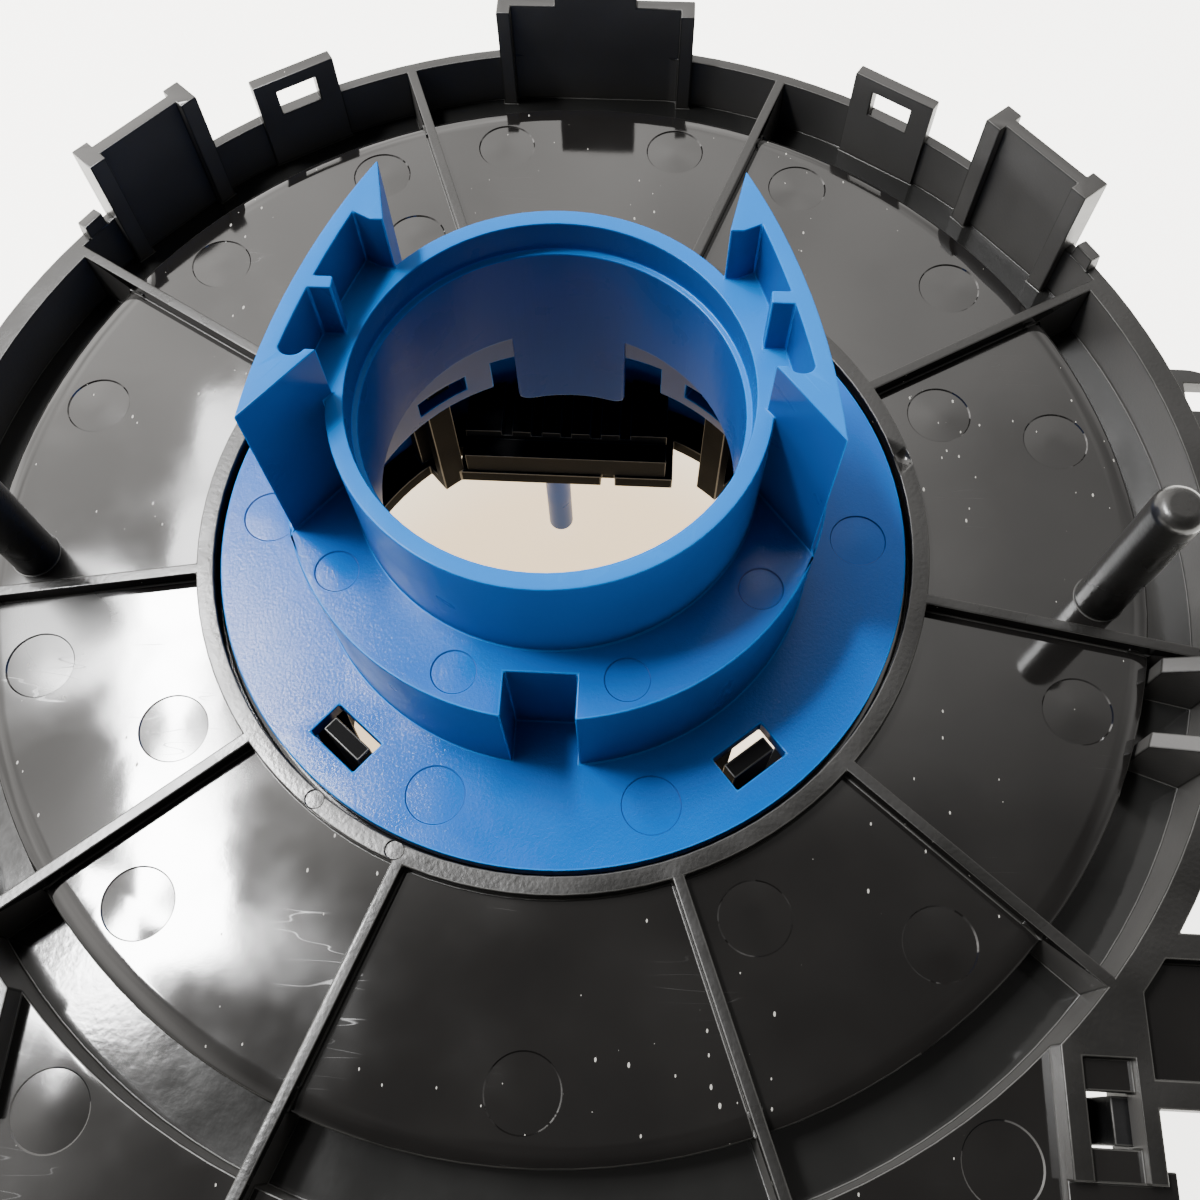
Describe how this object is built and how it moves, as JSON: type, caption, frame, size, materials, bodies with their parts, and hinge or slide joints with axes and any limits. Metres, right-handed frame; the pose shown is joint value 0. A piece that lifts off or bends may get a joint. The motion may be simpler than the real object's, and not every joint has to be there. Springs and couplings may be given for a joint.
{
  "type": "steering clock spring",
  "caption": "Steering clock spring with a ribbed round housing, a turning hub with collar and cancelling cams, a spiral flat cable and open plug sockets.",
  "frame": {"origin": "on the hub axis, level with the top of the hub's step, inside the collar bore", "axes": "+Z along the hub axis towards the steering column, -Y towards the apron with the harness sockets"},
  "size_m": [0.137, 0.1404, 0.0675],
  "materials": {
    "cover": "polished black moulding",
    "housing": "moulded black",
    "hub_blue": "moulded blue, fine spark-eroded grain",
    "insulator": "moulded, matt",
    "film": "smooth low-friction film",
    "ribbon": "laminated film over copper",
    "contact": "tin plated"
  },
  "bodies": {
    "housing": {"rear_cover": "cover", "front_housing": "housing", "upper_slide_sheet": "film", "lower_slide_sheet": "film", "flat_cable": "ribbon", "inner_end_plate": "film", "outer_end_plate": "film", "outer_terminal_block": "insulator", "outer_leads": "contact", "column_airbag_connector": "insulator", "column_airbag_terminals": "contact", "column_switch_connector": "insulator", "column_switch_terminals": "contact"},
    "rotor": {"hub": "hub_blue", "front_rotor": "housing", "inner_terminal_block": "insulator", "index_pin": "hub_blue", "airbag_insert": "insulator", "airbag_terminals": "contact", "switch_insert": "insulator", "switch_terminals": "contact"}
  },
  "joints": [
    {"name": "hub_turn", "type": "hinge", "parent": "housing", "child": "rotor", "pos_m": [0, 0, 0], "axis": [0, 0, 1], "range_deg": [-900, 900]}
  ]
}
